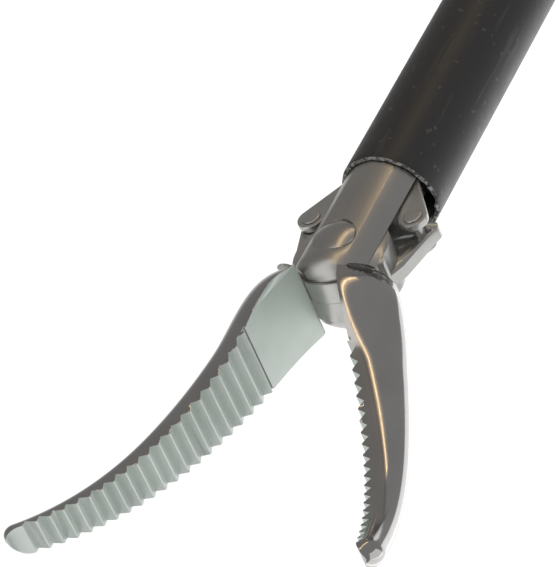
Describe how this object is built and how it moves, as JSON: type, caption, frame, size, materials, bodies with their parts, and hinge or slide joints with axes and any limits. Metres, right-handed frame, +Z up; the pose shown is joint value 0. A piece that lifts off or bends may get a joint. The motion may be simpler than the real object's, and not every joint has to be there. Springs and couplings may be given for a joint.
{
  "type": "maryland dissector",
  "caption": "Laparoscopic curved dissecting forceps: toothed double-action jaws, linkage in a slotted tip, long insulated shaft, rotation knob and ring handle.",
  "frame": {"origin": "on the shaft axis, where the shaft leaves the front of the rotation knob", "axes": "+X along the shaft to the jaws, +Z up, away from the finger loop, +Y to the handle's side, along the jaw pin"},
  "size_m": [0.4642, 0.0272, 0.1253],
  "materials": {
    "steel": "polished to satin stainless steel",
    "black_grip": "fine matt moulding",
    "black_knob": "fine matt moulding",
    "black_sleeve": "satin shrink sleeve",
    "cap_rubber": "soft matt",
    "button_plastic": "satin"
  },
  "bodies": {
    "handle": {"handle_body": "black_grip", "pivot_screw": "steel", "pivot_nut": "steel", "electrode_post": "steel", "post_collar": "black_knob", "flush_port": "steel", "port_cap": "cap_rubber"},
    "lever": {"thumb_lever": "black_grip"},
    "button": {"release_button": "button_plastic"},
    "shaft": {"rotation_knob": "black_knob", "shaft_bushing": "steel", "shaft_tube": "steel", "insulation_sleeve": "black_sleeve", "clevis": "steel", "jaw_pin": "steel"},
    "rod": {"push_rod": "steel", "rod_ball": "steel", "link_pin_upper": "steel", "link_pin_lower": "steel"},
    "jaw_upper": {"upper_jaw": "steel", "knee_rivet_upper": "steel"},
    "jaw_lower": {"lower_jaw": "steel", "knee_rivet_lower": "steel"},
    "link_upper": {"upper_link": "steel"},
    "link_lower": {"lower_link": "steel"}
  },
  "joints": [
    {"name": "lever_hinge", "type": "hinge", "parent": "handle", "child": "lever", "pos_m": [-0.058, 0, -0.008], "axis": [0, 1, 0], "range_deg": [-10.45, 2.5]},
    {"name": "button_slide", "type": "slide", "parent": "handle", "child": "button", "axis": [0, 0, 1], "range_m": [-0.0012, 0], "stiffness_N_per_m": 400},
    {"name": "shaft_turn", "type": "hinge", "parent": "handle", "child": "shaft", "pos_m": [0, 0, 0], "axis": [1, 0, 0], "continuous": true},
    {"name": "rod_slide", "type": "slide", "parent": "shaft", "child": "rod", "axis": [1, 0, 0], "range_m": [-0.0015, 0.0004]},
    {"name": "upper_jaw_hinge", "type": "hinge", "parent": "shaft", "child": "jaw_upper", "pos_m": [0.31, 0, 0], "axis": [0, -1, 0], "range_deg": [-24.7, 6]},
    {"name": "lower_jaw_hinge", "type": "hinge", "parent": "shaft", "child": "jaw_lower", "pos_m": [0.31, 0, 0], "axis": [0, 1, 0], "range_deg": [-24.7, 6]},
    {"name": "upper_link_hinge", "type": "hinge", "parent": "rod", "child": "link_upper", "pos_m": [0.30365, 0, -0.00065], "axis": [0, 1, 0], "range_deg": [-17.4, 4.3]},
    {"name": "lower_link_hinge", "type": "hinge", "parent": "rod", "child": "link_lower", "pos_m": [0.30365, 0, 0.00065], "axis": [0, -1, 0], "range_deg": [-17.4, 4.3]}
  ],
  "couplings": [
    {"joint": "rod_slide", "follows": "lever_hinge", "m_per_rad": 0.008},
    {"joint": "upper_jaw_hinge", "follows": "lever_hinge", "ratio": 2.348},
    {"joint": "lower_jaw_hinge", "follows": "lever_hinge", "ratio": 2.348},
    {"joint": "upper_link_hinge", "follows": "lever_hinge", "ratio": 1.6453},
    {"joint": "lower_link_hinge", "follows": "lever_hinge", "ratio": 1.6453}
  ]
}
